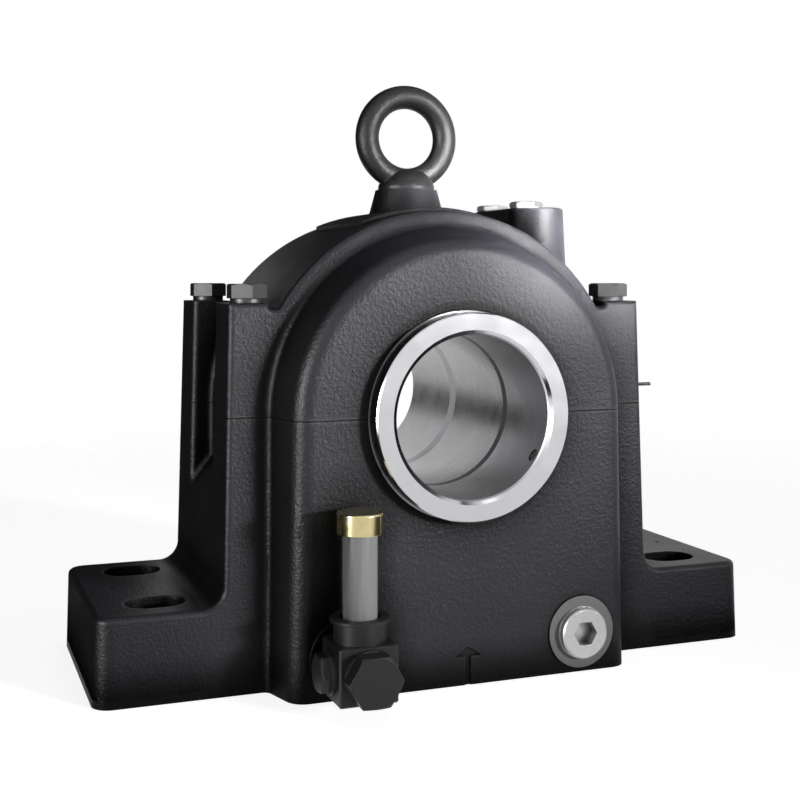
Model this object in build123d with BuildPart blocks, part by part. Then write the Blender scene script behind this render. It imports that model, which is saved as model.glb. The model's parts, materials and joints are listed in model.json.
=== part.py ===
# Split plummer block: a two-piece cast bearing housing on four foot slots, with an oil level gauge,
# a drain plug, two filler plugs and a lifting eye, around a tapered-bore spherical roller bearing
# on an adapter sleeve. Millimetres. X runs along the foot, Y along the shaft, Z up; the origin is
# on the base plane, below the middle of the bearing.
import os
from math import atan, cos, degrees, hypot, radians, sin, sqrt, tan

from build123d import *

os.makedirs("parts", exist_ok=True)

# ---- shaft line -------------------------------------------------------------------------------
shaft_height = 140.0
shaft_r = 42.5

# ---- bearing on its adapter sleeve ------------------------------------------------------------
sleeve_wall = 5.0              # at the small end of the bearing's bore
taper_ratio = 1 / 12           # on diameter
bearing_width = 43.0
bearing_section = 37.5         # from the small end of the bore out to the outer ring's seat
outer_ring_wall = 9.0          # at the middle of the raceway
inner_ring_wall = 7.4          # under a roller's middle, over the small end of the bore
roller_play = 0.3
roller_length = 14.0
roller_tilt = 10.0             # degrees
roller_count = 15              # in one row
inner_lip_rise = 8.0           # height of the inner ring's lips over the bore
inner_lip_width = 1.5
cage_wall = 6.0
cage_width = 38.0
cage_play = 0.4
locating_ring_width = 12.5
locating_ring_wall = 9.0
sleeve_nut_end = 25.5          # sleeve past the bearing, on the nut's side
sleeve_large_end = 3.4         # and past its other side
sleeve_lead_in = 5.0           # length of the easy taper at the mouth of the sleeve's bore
sleeve_lead_rise = 0.9
sleeve_slit = 4.0
nut_wall = 15.0
nut_width = 17.0
nut_slot_width = 10.0
nut_slot_depth = 4.0
nut_slot_count = 4
nut_slot_turn = 45.0           # degrees
lock_washer_thickness = 2.0
lock_washer_wall = 12.5

# ---- housing casting --------------------------------------------------------------------------
casting_draft = 1.2            # degrees, on every upright face of the foot and the pillars
casting_edge_r = 3.0
barrel_wall = 23.5             # round the bearing seat
pillar_overhang = 15.5         # pillars outside the barrel, measured at the base plane
pillar_rise = 58.5             # top of the bolt seats above the shaft line
shoulder_drop = 3.0            # step down from the bolt seat to the barrel's shoulder
shoulder_r = 2.4
pillar_depth = 36.0            # of each pillar along the shaft, measured at the base plane
pocket_floor_drop = 30.0       # inner end of the flank pocket's floor, below the shaft line
pocket_floor_slope = 52.0      # degrees, falling outwards
pocket_r = 4.0
pocket_edge_r = 3.5

foot_reach = 64.0              # foot past the pillars, measured at the base plane
foot_width = 128.0
foot_height = 44.5
foot_corner_r = 9.5
foot_flank_r = 11.0
foot_slot_end_inset = 34.3     # slot centres from the end of the foot
foot_slot_side_inset = 26.7    # and from its front and rear faces
foot_slot_length = 32.0
foot_slot_width = 24.0
dimple_inset = 17.5
dimple_r = 1.4

# ---- seal housings on both ends ---------------------------------------------------------------
nose_reach = 25.0              # past the foot, measured at the base plane
nose_root_inset = 9.5          # inside the barrel's rim
nose_taper = 8.0               # lost in radius from the root to the face
nose_flare = 1.0               # degrees, the sides lean outwards below the shaft line
nose_edge_r = 10.0
nose_root_fillet = 4.0
nose_wall = 13.0

# ---- chambers inside --------------------------------------------------------------------------
chamber_step = 3.0             # chamber's radius below the bearing seat's
chamber_corner_r = 12.0
sump_floor = 14.0
sump_passage_width = 84.0
sump_passage_height = 26.0
sump_passage_r = 8.0

# ---- seal rings -------------------------------------------------------------------------------
ring_stand_out = 9.8           # ring's face outside the seal housing's
seal_ring_wall = 11.4
seal_ring_chamfer = 2.4
seal_ring_edge = 0.6
seal_ring_gap = 1.0            # between the ring and the seal housing
fin_height = 6.6
fin_width = 2.5
fin_insets = (9.5, 4.5)        # inner face of each labyrinth fin, behind the seal housing's face
fin_play = 0.6
slinger_height = 8.1
slinger_width = 3.5
slinger_gap = 1.5              # between the slinger and the chamber wall
ring_spigot_wall = 6.0
ring_end_gap = 0.5             # between a seal ring and the sleeve
ring_lead_in = 8.5             # length of the easy taper where the rear ring takes the shaft
ring_lead_rise = 1.4
set_screw_r = 3.4
set_screw_inset = 7.3          # behind the ring face
set_screw_angles = (-31.0, 89.0, 209.0)
set_screw_depth = 8.0
set_screw_recess = 0.4         # screw's end below the bore
set_screw_point = 0.7          # chamfer of the screw's end
set_screw_socket_flats = 3.0

# ---- oil pickup ring --------------------------------------------------------------------------
pickup_gap = 17.0              # middle of the ring from the end of the bearing seat
pickup_seat_rise = 3.5         # seat over the spigot
pickup_flange_rise = 4.0
pickup_flange_width = 4.0
pickup_slack = 18.0            # ring's bore over its seat, in radius
pickup_wall = 5.0
pickup_width = 8.0
pickup_play = 0.3
pickup_side_play = 1.0

# ---- cap bolts and dowels ---------------------------------------------------------------------
bolt_end_inset = 16.7          # bolt from the pillar's end face
bolt_side_inset = 16.8         # and from its front or rear face
bolt_r = 6.0
bolt_hole_play = 0.75
bolt_head_flats = 19.0
bolt_head_height = 7.6
bolt_face_r = 8.8
bolt_face_height = 2.5
bolt_engagement = 30.0
head_chamfer_angle = 30.0      # degrees, of every hexagon head
dowel_inset = 12.0             # inside the barrel
dowel_y = 14.0
dowel_r = 4.0
dowel_length = 24.0

# ---- lifting eye ------------------------------------------------------------------------------
eye_boss_rise = 14.3           # boss above the barrel
eye_boss_root = 12.0           # cone carried on down inside the barrel's crown
eye_boss_land = 1.6            # boss round the collar
eye_boss_slope = 15.0          # degrees
eye_collar_r = 16.4
eye_collar_height = 2.0
eye_dome_height = 11.8         # above the boss, just short of the ring's hole
eye_dome_bulge = 2.4           # of the dome's side over a straight cone
eye_dome_top_r = 5.0
eye_inner_r = 17.4
eye_wire_r = 6.8
eye_sink = 0.6                 # ring's lowest point below the boss's face, inside the thread
eye_thread_r = 8.0
eye_thread_length = 27.0

# ---- crown pad and filler tower ---------------------------------------------------------------
crown_pad_length = 84.0
crown_pad_width = 84.0
crown_pad_rise = 2.5
tower_inset = 36.5             # tower's middle inside the barrel's side
tower_rise = 3.9               # above the barrel
tower_width = 33.0
tower_length = 79.0
tower_draft = 3.0
tower_edge_r = 1.5
filler_offset = 5.3            # plugs from the tower's middle
filler_flats = 17.0
filler_head_height = 3.0
filler_washer_r = 9.4
filler_washer_height = 0.8
filler_thread_r = 7.0
filler_thread_length = 14.0
filler_duct_r = 3.0

# ---- ports on the front seal housing ----------------------------------------------------------
port_inset = 24.7              # port from the side of the seal housing's face
port_height = 21.5
port_thread_r = 9.0
spotface_land = 5.4            # round the drain washer
spotface_rise = 0.8
drain_collar_r = 13.4
drain_collar_height = 3.8
drain_washer_land = 0.6        # washer past the collar
drain_washer_height = 1.0
drain_socket_flats = 12.0
drain_socket_depth = 7.0
drain_edge = 0.8
gauge_nipple_hole_r = 4.0

# ---- oil level gauge --------------------------------------------------------------------------
nipple_length = 5.2
nipple_r = 8.0
block_width = 30.0
block_depth = 28.0
block_height = 28.0
block_edge = 0.8
block_bore_r = 5.0
plug_thread_r = 7.0
plug_thread_length = 7.0
plug_flange_height = 2.0
front_plug_flange_r = 12.9
front_plug_flats = 24.0
front_plug_head = 9.6
side_plug_flange_r = 11.0
side_plug_flats = 17.0
side_plug_head = 5.0
collar_wall = 2.8
collar_height = 9.8
collar_rim_width = 1.9
collar_rim_height = 1.8
collar_rim_edge = 0.4
tube_r = 8.65
tube_wall = 2.0
tube_length = 56.7
tube_seal_wall = 1.65
tube_seal_height = 4.0
sight_cap_wall = 2.95
sight_cap_overlap = 6.5        # cap down over the tube
sight_cap_height = 10.4
sight_cap_edge_r = 1.0

# ---- centre mark and flank pin ----------------------------------------------------------------
mark_width = 3.0
mark_height = 20.0
mark_depth = 0.8
arrow_width = 15.7
arrow_height = 5.0
pin_offset = 0.8               # pin from the bolt's line, along the shaft
pin_above_split = 9.5
pin_r = 1.0
pin_stand_out = 11.0
pin_gap = 2.0                  # between the pin's hole and the bolt's

# ---- sizes worked out from those above --------------------------------------------------------
bearing_bore_r = shaft_r + sleeve_wall
bearing_outer_r = bearing_bore_r + bearing_section
bearing_sphere_r = bearing_outer_r - outer_ring_wall
roller_r = (bearing_section - outer_ring_wall - inner_ring_wall) / 2 - roller_play
roller_reach = bearing_sphere_r - roller_play - roller_r      # roller centre from the bearing centre
roller_y = roller_reach * sin(radians(roller_tilt))
roller_z = roller_reach * cos(radians(roller_tilt))
barrel_generator_r = bearing_sphere_r - roller_play
locating_ring_inner_r = bearing_outer_r - locating_ring_wall
seat_half_width = bearing_width / 2 + locating_ring_width
sleeve_front = -bearing_width / 2 - sleeve_nut_end
sleeve_rear = bearing_width / 2 + sleeve_large_end
nut_rear = -bearing_width / 2 - lock_washer_thickness
nut_r = bearing_bore_r + nut_wall
lock_washer_r = bearing_bore_r + lock_washer_wall
inner_lip_r = bearing_bore_r + inner_lip_rise

draft_slope = tan(radians(casting_draft))
barrel_r = bearing_outer_r + barrel_wall
barrel_top = shaft_height + barrel_r
pillar_half_length = barrel_r + pillar_overhang
pillar_top = shaft_height + pillar_rise
pocket_half_width = foot_width / 2 - pillar_depth
pocket_floor_inner = shaft_height - pocket_floor_drop
foot_x = pillar_half_length + foot_reach
foot_slot_x = foot_x - foot_slot_end_inset
foot_slot_y = foot_width / 2 - foot_slot_side_inset
dimple_x = foot_x - dimple_inset

nose_face = foot_width / 2 + nose_reach
nose_root_r = barrel_r - nose_root_inset
nose_face_r = nose_root_r - nose_taper
chamber_r = bearing_outer_r - chamber_step
chamber_end = nose_face - nose_wall

seal_ring_face = nose_face + ring_stand_out
seal_ring_r = shaft_r + seal_ring_wall
seal_bore_r = seal_ring_r + seal_ring_gap
fin_r = seal_ring_r + fin_height
slinger_r = seal_ring_r + slinger_height
slinger_face = chamber_end - slinger_gap
ring_spigot_r = shaft_r + ring_spigot_wall

pickup_y = seat_half_width + pickup_gap
pickup_seat_r = ring_spigot_r + pickup_seat_rise
pickup_flange_r = pickup_seat_r + pickup_flange_rise
pickup_inner_r = pickup_seat_r + pickup_slack
pickup_z = shaft_height - pickup_slack + pickup_play         # it hangs from its seat

bolt_x = pillar_half_length - bolt_end_inset
bolt_y = foot_width / 2 - bolt_side_inset
shoulder_x = bolt_x - bolt_face_r
dowel_x = barrel_r - dowel_inset

eye_seat = barrel_top + eye_boss_rise
eye_boss_top_r = eye_collar_r + eye_boss_land
eye_ring_r = eye_inner_r + eye_wire_r
eye_centre = eye_seat - eye_sink + eye_ring_r + eye_wire_r

tower_x = barrel_r - tower_inset
tower_top = barrel_top + tower_rise
filler_x = tower_x - filler_offset
filler_y = (tower_length - tower_width) / 2

port_x = nose_face_r - port_inset
drain_seat = nose_face + spotface_rise
drain_washer_r = drain_collar_r + drain_washer_land
spotface_r = drain_washer_r + spotface_land

gauge_x = -port_x
block_back = -drain_seat - nipple_length
block_front = block_back - block_depth
gauge_y = (block_back + block_front) / 2
block_top = port_height + block_height / 2
tube_foot = block_top + collar_rim_height
tube_top = tube_foot + tube_length
collar_bore_r = tube_r + tube_seal_wall
collar_r = collar_bore_r + collar_wall
collar_rim_r = collar_r + collar_rim_width
sight_cap_r = tube_r + sight_cap_wall
sight_cap_bottom = tube_top - sight_cap_overlap

pin_y = -bolt_y - pin_offset
pin_tip_x = pillar_half_length + pin_stand_out
pin_inner_x = bolt_x + bolt_r + bolt_hole_play + pin_gap
pin_length = pin_tip_x - pin_inner_x

split_plane = Plane.XY.offset(shaft_height)
shaft_axis = Axis((0, 0, shaft_height), (0, 1, 0))
axial_plane = Plane(origin=(0, 0, shaft_height), x_dir=(0, 1, 0), z_dir=(1, 0, 0))
hex_turn = 30                  # degrees, turns a hexagon's flats to face along the sketch's x
tiny = 0.01                    # tolerance of the edge selectors
overcut = 1.0                  # cutters run on past the metal by this much
clear_of = 10.0                # and the large ones by this much


def half_width_at(height):
    # half the width across the front and rear faces, at a height above the base
    return foot_width / 2 - height * draft_slope


def turn(points, axis=shaft_axis, plane=axial_plane, mode=Mode.ADD):
    # solid of revolution from an outline of (along the axis, radius) points
    with BuildSketch(plane) as outline:
        with BuildLine():
            Polyline(*points, close=True)
        make_face()
    revolve(outline.sketch, axis=axis, mode=mode)


def hexagon_across(flats):
    # circumscribed radius of a hexagon with this width across its flats
    return flats / 2 / cos(radians(hex_turn))


def hexagon_head(flats, height, turned=0):
    # a head standing on the origin's plane, its corners taken off by a flat cone
    with BuildSketch() as hexagon:
        RegularPolygon(hexagon_across(flats), 6, rotation=turned)
    extrude(hexagon.sketch, amount=height)
    spread = height / tan(radians(head_chamfer_angle))
    Cone(flats / 2 + spread, flats / 2, height, align=(Align.CENTER, Align.CENTER, Align.MIN),
         mode=Mode.INTERSECT)


def rod(radius, start, end):
    # round length along the origin's axis
    with BuildSketch(Plane.XY.offset(start)) as section:
        Circle(radius)
    extrude(section.sketch, amount=end - start)


def save(builder, name):
    builder.part.label = name
    export_step(builder.part, f"parts/{name}.step")


# ---- housing casting, whole ---------------------------------------------------------------------
with BuildPart() as nose:
    nose_slope = (nose_root_r - nose_face_r) / (nose_face - half_width_at(shaft_height))
    hidden_y = half_width_at(barrel_top) - nose_root_fillet      # the form starts inside the barrel
    nose_depth = nose_face - hidden_y
    hidden_r = nose_face_r + nose_depth * nose_slope
    below_base = foot_height   # the outline runs on below the base plane and is trimmed there
    flare = radians(nose_flare)
    side_x, side_z = hidden_r * cos(flare), shaft_height + hidden_r * sin(flare)
    side_end_x = side_x + (side_z + below_base) * tan(flare)
    with BuildSketch(Plane.XZ.offset(hidden_y)):
        with BuildLine():
            CenterArc((0, shaft_height), hidden_r, nose_flare, 180 - 2 * nose_flare)
            Polyline((side_x, side_z), (side_end_x, -below_base), (-side_end_x, -below_base),
                     (-side_x, side_z))
        make_face()
    extrude(amount=nose_depth, taper=degrees(atan(nose_slope)))
    front = nose.faces().sort_by(Axis.Y)[0]
    fillet(front.edges(), nose_edge_r)
    mirror(about=Plane.XZ)
    split(bisect_by=Plane.XY, keep=Keep.TOP)

with BuildPart() as draft_wedge:
    # everything between the front and rear faces, which lean inwards with height
    with BuildSketch(Plane.YZ):
        above = barrel_top + clear_of
        low, high = half_width_at(0), half_width_at(above)
        Polygon((-low, 0), (low, 0), (high, above), (-high, above), align=None)
    extrude(amount=foot_x + clear_of, both=True)

with BuildPart() as pockets:
    with BuildSketch(Plane.XZ):
        with BuildLine():
            pocket_x = pillar_half_length + clear_of
            floor_outer = pocket_floor_inner - (pocket_x - barrel_r) * tan(radians(pocket_floor_slope))
            pocket_top = pillar_top + clear_of
            Polyline((barrel_r, shaft_height), (barrel_r, pocket_floor_inner), (pocket_x, floor_outer),
                     (pocket_x, pocket_top), (barrel_r / 2, pocket_top), (barrel_r / 2, shaft_height),
                     close=True)
        make_face()
        mirror(about=Plane.YZ)
        with Locations((0, shaft_height)):
            Circle(barrel_r, mode=Mode.SUBTRACT)
    extrude(amount=pocket_half_width, both=True)
    # the cutter is rounded where it leaves an inner wall or a floor behind
    def left_in_casting(edge):
        middle = edge.center()
        on_end_face = abs(middle.X) > pocket_x - tiny or abs(middle.X) < barrel_r / 2 + tiny
        along_barrel = abs(middle.Y) < tiny and middle.Z > pocket_floor_inner + tiny
        return not on_end_face and middle.Z < pocket_top - tiny and not along_barrel
    fillet([e for e in pockets.edges() if left_in_casting(e)], pocket_r)

with BuildPart() as chambers:
    with BuildSketch(Plane.XZ) as chamber_outline:
        with Locations((0, (sump_floor + shaft_height) / 2)):
            Rectangle(2 * chamber_r, shaft_height - sump_floor)
        fillet(chamber_outline.vertices().group_by(Axis.Y)[0], chamber_corner_r)
        with Locations((0, shaft_height)):
            Circle(chamber_r)
    extrude(amount=chamber_end, both=True)
    with BuildSketch(Plane.XY):
        Rectangle(2 * barrel_r, 2 * seat_half_width)
    extrude(amount=barrel_top, mode=Mode.SUBTRACT)

with BuildPart() as housing:
    foot_top_x = foot_x - foot_height * draft_slope
    flank_x = pillar_half_length - foot_height * draft_slope
    pillar_top_x = pillar_half_length - pillar_top * draft_slope
    shoulder_z = pillar_top - shoulder_drop
    with BuildSketch(Plane.XZ) as casting_outline:
        with BuildLine():
            Polyline((0, 0), (foot_x, 0), (foot_top_x, foot_height), (flank_x, foot_height),
                     (pillar_top_x, pillar_top), (shoulder_x, pillar_top), (shoulder_x, shoulder_z),
                     (0, shoulder_z), close=True)
        make_face()
        mirror(about=Plane.YZ)
        with Locations((0, shaft_height)):
            Circle(barrel_r)
        corners = casting_outline.vertices()
        flank_corners = [v for v in corners if abs(abs(v.X) - flank_x) < tiny]
        fillet(flank_corners, foot_flank_r)
        corners = casting_outline.vertices()
        shoulder_wall = shoulder_x - sqrt(barrel_r ** 2 - (shoulder_z - shaft_height) ** 2)
        fillet([v for v in corners if abs(v.Y - shoulder_z) < tiny],
               min(shoulder_r, shoulder_wall / 2, shoulder_drop - tiny))
    extrude(amount=foot_width / 2, both=True)
    add(draft_wedge.part, mode=Mode.INTERSECT)
    foot_corners = [e for e in housing.edges() if abs(e.center().X) > foot_top_x
                    and abs(e.center().Y) > foot_width / 4 and e.bounding_box().size.Z > foot_height / 2]
    fillet(foot_corners, foot_corner_r)
    add(pockets.part, mode=Mode.SUBTRACT)

    def on_outer_face(edge):
        return all(abs(abs(v.Y) - half_width_at(v.Z)) < tiny for v in edge.vertices())

    def is_outline(edge):
        middle = edge.center()
        if middle.Z < foot_height - overcut:
            return False
        return on_outer_face(edge) or middle.Z < foot_height + tiny
    fillet([e for e in housing.edges() if is_outline(e)], casting_edge_r)

    def is_pocket_mouth(edge):
        # the long edges between a pocket's sides and the pillars' end faces
        middle = edge.center()
        on_side = abs(abs(middle.Y) - pocket_half_width) < tiny
        on_end_face = abs(abs(middle.X) + middle.Z * draft_slope - pillar_half_length) < tiny
        return edge.geom_type == GeomType.LINE and on_side and on_end_face
    fillet([e for e in housing.edges() if is_pocket_mouth(e)], pocket_edge_r)
    add(nose.part)
    rim_middle = (nose_root_r + barrel_r - casting_edge_r) / 2
    root_edges = [e for e in housing.edges() if on_outer_face(e)
                  and nose_face_r < hypot(e.center().X, max(e.center().Z - shaft_height, 0)) < rim_middle]
    fillet(root_edges, nose_root_fillet)

    # crown: boss of the lifting eye, bare raised pad, and the long boss that carries the filler plugs
    boss_slope = tan(radians(eye_boss_slope))
    boss_height = eye_boss_rise + eye_boss_root
    with Locations((0, 0, eye_seat - boss_height / 2)):
        Cone(eye_boss_top_r + boss_height * boss_slope, eye_boss_top_r, boss_height)
    with BuildSketch(Plane.XZ):
        with Locations((0, shaft_height)):
            Circle(barrel_r + crown_pad_rise)
        with Locations((0, barrel_top)):
            Rectangle(crown_pad_length, barrel_r, mode=Mode.INTERSECT)
    extrude(amount=crown_pad_width / 2, both=True)
    with BuildSketch(Plane.XY.offset(tower_top)):
        with Locations((tower_x, 0)):
            SlotOverall(tower_length, tower_width, rotation=90)
    extrude(amount=-(tower_top - pillar_top), taper=-tower_draft)
    tower_rim = [e for e in housing.edges() if abs(e.center().Z - tower_top) < tiny]
    fillet(tower_rim, tower_edge_r)

    # port faces on the front seal housing
    for side in (-1, 1):
        with BuildSketch(Plane.XZ.offset(nose_face - nose_wall / 2)):
            with Locations((side * port_x, port_height)):
                Circle(spotface_r)
        extrude(amount=nose_wall / 2 + spotface_rise)
    split(bisect_by=Plane.XY, keep=Keep.TOP)

    # seats, chambers and shaft openings
    with BuildSketch(Plane.XZ):
        with Locations((0, shaft_height)):
            Circle(bearing_outer_r)
    extrude(amount=seat_half_width, both=True, mode=Mode.SUBTRACT)
    add(chambers.part, mode=Mode.SUBTRACT)
    with BuildSketch(Plane.XZ):
        with Locations((0, sump_floor + sump_passage_height / 2)):
            RectangleRounded(sump_passage_width, sump_passage_height, sump_passage_r)
    extrude(amount=seat_half_width + overcut, both=True, mode=Mode.SUBTRACT)
    with BuildSketch(Plane.XZ):
        with Locations((0, shaft_height)):
            Circle(seal_bore_r)
    extrude(amount=nose_face + overcut, both=True, mode=Mode.SUBTRACT)
    for inset in fin_insets:
        low = nose_face - inset - fin_play
        high = nose_face - inset + fin_width + fin_play
        for side in (-1, 1):
            turn([(side * low, 0), (side * low, fin_r + fin_play), (side * high, fin_r + fin_play),
                  (side * high, 0)], mode=Mode.SUBTRACT)

# ---- housing base -------------------------------------------------------------------------------
with BuildPart() as housing_base:
    add(housing.part)
    split(bisect_by=split_plane, keep=Keep.BOTTOM)
    with BuildSketch(Plane.XY):
        with GridLocations(2 * foot_slot_x, 2 * foot_slot_y, 2, 2):
            SlotOverall(foot_slot_length, foot_slot_width)
    extrude(amount=foot_height + overcut, mode=Mode.SUBTRACT)
    with Locations((-dimple_x, 0, foot_height), (dimple_x, 0, foot_height)):
        Cone(0, 2 * dimple_r, 2 * dimple_r, mode=Mode.SUBTRACT)
    with BuildSketch(split_plane):
        with GridLocations(2 * bolt_x, 2 * bolt_y, 2, 2):
            Circle(bolt_r)
        with Locations((dowel_x, dowel_y), (-dowel_x, -dowel_y)):
            Circle(dowel_r)
    extrude(amount=-bolt_engagement, mode=Mode.SUBTRACT)
    with BuildSketch(Plane.XZ.offset(chamber_end - overcut)):
        with Locations((port_x, port_height)):
            Circle(port_thread_r)
        with Locations((gauge_x, port_height)):
            Circle(gauge_nipple_hole_r)
    extrude(amount=overcut + nose_wall + spotface_rise + overcut, mode=Mode.SUBTRACT)
    with BuildSketch(Plane.XZ.offset(nose_face - mark_depth)):
        with Locations((0, (mark_height - arrow_height) / 2)):
            Rectangle(mark_width, mark_height - arrow_height + tiny)
        Polygon((-arrow_width / 2, mark_height - arrow_height), (arrow_width / 2, mark_height - arrow_height),
                (0, mark_height), align=None)
    extrude(amount=mark_depth + overcut, mode=Mode.SUBTRACT)
save(housing_base, "housing_base")

# ---- housing cap --------------------------------------------------------------------------------
with BuildPart() as housing_cap:
    add(housing.part)
    split(bisect_by=split_plane, keep=Keep.TOP)
    with BuildSketch(split_plane):
        with GridLocations(2 * bolt_x, 2 * bolt_y, 2, 2):
            Circle(bolt_r + bolt_hole_play)
    extrude(amount=pillar_rise + overcut, mode=Mode.SUBTRACT)
    with BuildSketch(split_plane):
        with Locations((dowel_x, dowel_y), (-dowel_x, -dowel_y)):
            Circle(dowel_r)
    extrude(amount=dowel_length / 2, mode=Mode.SUBTRACT)
    with BuildSketch(Plane.XY.offset(eye_seat)):
        Circle(eye_thread_r)
    extrude(amount=-eye_thread_length, mode=Mode.SUBTRACT)
    with BuildSketch(Plane.XY.offset(tower_top)):
        with Locations((filler_x, -filler_y), (filler_x, filler_y)):
            Circle(filler_thread_r)
    extrude(amount=-filler_thread_length, mode=Mode.SUBTRACT)
    with BuildSketch(Plane.XY.offset(tower_top)):
        with Locations((filler_x, -filler_y), (filler_x, filler_y)):
            Circle(filler_duct_r)
    extrude(amount=shaft_height - tower_top, mode=Mode.SUBTRACT)
    with BuildSketch(Plane.YZ.offset(pin_tip_x)):
        with Locations((pin_y, shaft_height + pin_above_split)):
            Circle(pin_r)
    extrude(amount=-pin_length, mode=Mode.SUBTRACT)
save(housing_cap, "housing_cap")

# ---- cap bolts and dowel pins -------------------------------------------------------------------
with BuildPart() as cap_bolt:
    # one bolt, its head standing on the origin
    hexagon_head(bolt_head_flats, bolt_head_height, hex_turn)
    rod(bolt_face_r, -bolt_face_height, 0)
    rod(bolt_r, -bolt_face_height - pillar_rise - bolt_engagement, -bolt_face_height)

with BuildPart() as cap_bolts:
    with Locations((0, 0, pillar_top + bolt_face_height)):
        with GridLocations(2 * bolt_x, 2 * bolt_y, 2, 2):
            add(cap_bolt.part)
save(cap_bolts, "cap_bolts")

with BuildPart() as dowel_pins:
    with BuildSketch(split_plane):
        with Locations((dowel_x, dowel_y), (-dowel_x, -dowel_y)):
            Circle(dowel_r)
    extrude(amount=dowel_length / 2, both=True)
save(dowel_pins, "dowel_pins")

# ---- lifting eye --------------------------------------------------------------------------------
with BuildPart() as eye_bolt:
    thread_end = eye_seat - eye_thread_length
    collar_top = eye_seat + eye_collar_height
    dome_top = eye_seat + eye_dome_height
    side_r, side_z = eye_collar_r - eye_dome_top_r, dome_top - collar_top
    bulge = eye_dome_bulge / hypot(side_r, side_z)
    with BuildSketch(Plane.YZ):
        with BuildLine():
            Polyline((0, dome_top), (0, thread_end), (eye_thread_r, thread_end), (eye_thread_r, eye_seat),
                     (eye_collar_r, eye_seat), (eye_collar_r, collar_top))
            ThreePointArc((eye_collar_r, collar_top),
                          (eye_dome_top_r + side_r / 2 + bulge * side_z, collar_top + side_z / 2 + bulge * side_r),
                          (eye_dome_top_r, dome_top))
            Line((eye_dome_top_r, dome_top), (0, dome_top))
        make_face()
    revolve(axis=Axis.Z)
    with Locations((0, 0, eye_centre)):
        Torus(eye_ring_r, eye_wire_r, rotation=(90, 0, 0))
save(eye_bolt, "eye_bolt")

# ---- filler plugs and their washers -------------------------------------------------------------
with BuildPart() as filler_plug:
    hexagon_head(filler_flats, filler_head_height, hex_turn)
    rod(filler_thread_r, -filler_washer_height - filler_thread_length, 0)

with BuildPart() as filler_plugs:
    with Locations((filler_x, 0, tower_top + filler_washer_height)):
        with GridLocations(0, 2 * filler_y, 1, 2):
            add(filler_plug.part)
save(filler_plugs, "filler_plugs")

with BuildPart() as filler_washers:
    with BuildSketch(Plane.XY.offset(tower_top)):
        with Locations((filler_x, -filler_y), (filler_x, filler_y)):
            Circle(filler_washer_r)
            Circle(filler_thread_r, mode=Mode.SUBTRACT)
    extrude(amount=filler_washer_height)
save(filler_washers, "filler_washers")

# ---- drain plug ---------------------------------------------------------------------------------
drain_plane = Plane.XZ.offset(drain_seat)
with BuildPart() as drain_plug:
    with BuildSketch(drain_plane) as drain_thread:
        with Locations((port_x, port_height)):
            Circle(port_thread_r)
    extrude(amount=-(nose_wall + spotface_rise))
    extrude(drain_thread.sketch, amount=drain_washer_height)
    with BuildSketch(drain_plane.offset(drain_washer_height)):
        with Locations((port_x, port_height)):
            Circle(drain_collar_r)
    extrude(amount=drain_collar_height)
    rim = drain_plug.edges().sort_by(Axis.Y)[0]
    chamfer(rim, drain_edge)
    with BuildSketch(drain_plane.offset(drain_washer_height + drain_collar_height)):
        with Locations((port_x, port_height)):
            RegularPolygon(hexagon_across(drain_socket_flats), 6)
    extrude(amount=-drain_socket_depth, mode=Mode.SUBTRACT)
save(drain_plug, "drain_plug")

with BuildPart() as drain_washer:
    with BuildSketch(drain_plane):
        with Locations((port_x, port_height)):
            Circle(drain_washer_r)
            Circle(port_thread_r, mode=Mode.SUBTRACT)
    extrude(amount=drain_washer_height)
save(drain_washer, "drain_washer")

# ---- oil level gauge ----------------------------------------------------------------------------
with BuildPart() as gauge_block:
    with Locations((gauge_x, gauge_y, port_height)):
        Box(block_width, block_depth, block_height)
    chamfer(gauge_block.edges(), block_edge)
    with BuildSketch(Plane.XZ.offset(-block_back)):
        with Locations((gauge_x, port_height)):
            Circle(block_bore_r)
    extrude(amount=block_depth, mode=Mode.SUBTRACT)
    with BuildSketch(Plane.XZ.offset(-block_front)):
        with Locations((gauge_x, port_height)):
            Circle(plug_thread_r)
    extrude(amount=-plug_thread_length, mode=Mode.SUBTRACT)
    with BuildSketch(Plane.YZ.offset(gauge_x - block_width / 2)):
        with Locations((gauge_y, port_height)):
            Circle(plug_thread_r)
    extrude(amount=plug_thread_length, mode=Mode.SUBTRACT)
    with BuildSketch(Plane.XY.offset(block_top)):
        with Locations((gauge_x, gauge_y)):
            Circle(block_bore_r)
    extrude(amount=-block_height / 2, mode=Mode.SUBTRACT)
save(gauge_block, "gauge_block")

with BuildPart() as gauge_nipple:
    with BuildSketch(Plane.XZ.offset(drain_seat)):
        with Locations((gauge_x, port_height)):
            Circle(nipple_r)
            Circle(gauge_nipple_hole_r, mode=Mode.SUBTRACT)
    extrude(amount=-block_back - drain_seat)
save(gauge_nipple, "gauge_nipple")

with BuildPart() as front_plug:
    # along the origin's axis, its head standing on the origin
    hexagon_head(front_plug_flats, front_plug_head)
    rod(front_plug_flange_r, -plug_flange_height, 0)
    rod(plug_thread_r, -plug_flange_height - plug_thread_length, -plug_flange_height)

with BuildPart() as gauge_front_plug:
    with Locations(Plane(origin=(gauge_x, block_front - plug_flange_height, port_height),
                         x_dir=(1, 0, 0), z_dir=(0, -1, 0))):
        add(front_plug.part)
save(gauge_front_plug, "gauge_front_plug")

with BuildPart() as side_plug:
    hexagon_head(side_plug_flats, side_plug_head)
    rod(side_plug_flange_r, -plug_flange_height, 0)
    rod(plug_thread_r, -plug_flange_height - plug_thread_length, -plug_flange_height)

with BuildPart() as gauge_side_plug:
    with Locations(Plane(origin=(gauge_x - block_width / 2 - plug_flange_height, gauge_y, port_height),
                         x_dir=(0, 1, 0), z_dir=(-1, 0, 0))):
        add(side_plug.part)
save(gauge_side_plug, "gauge_side_plug")

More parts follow.
